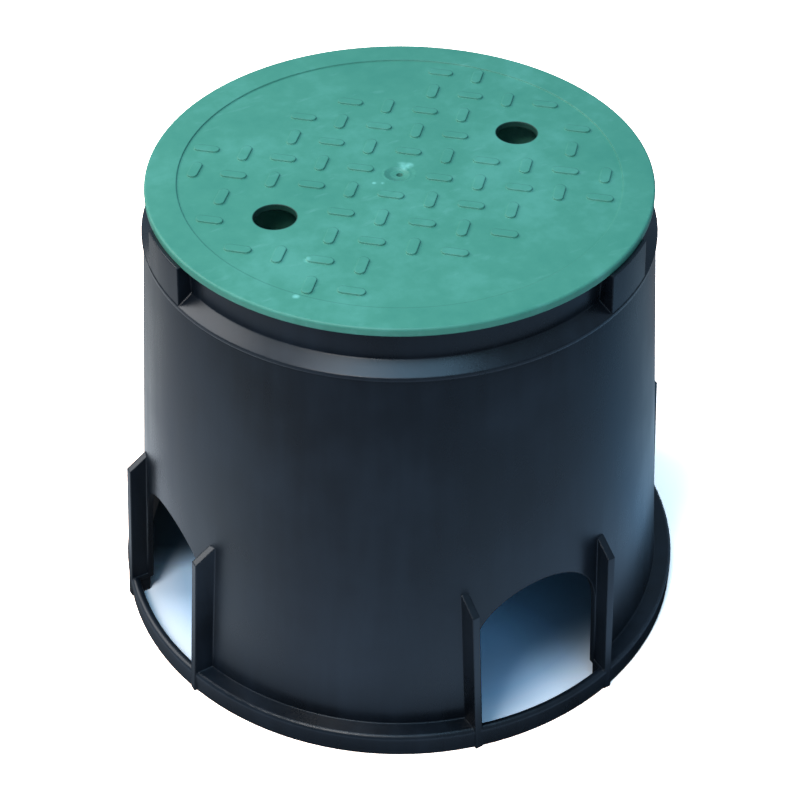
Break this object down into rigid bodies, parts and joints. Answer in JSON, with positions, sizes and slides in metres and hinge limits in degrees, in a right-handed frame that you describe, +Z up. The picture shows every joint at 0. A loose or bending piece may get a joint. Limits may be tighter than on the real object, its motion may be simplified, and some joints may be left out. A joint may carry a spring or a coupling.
{
  "type": "irrigation valve box",
  "caption": "Round tapered irrigation valve box with a base flange, ribbed arched pipe openings and a lift-off lid with treads and finger holes.",
  "frame": {"origin": "centre of the base, on the ground plane", "axes": "+Z up along the box's axis, +X through one pipe opening, -Y through the front one"},
  "size_m": [0.3106, 0.3106, 0.2539],
  "materials": {
    "body": "near-black injection-moulded polypropylene, satin gloss",
    "lid": "teal green injection-moulded polypropylene, fine matt"
  },
  "bodies": {
    "box": {"body": "body"},
    "cover": {"lid": "lid"}
  },
  "joints": [
    {"name": "lid_lift", "type": "slide", "parent": "box", "child": "cover", "axis": [0, 0, 1], "range_m": [0, 0.06]}
  ]
}
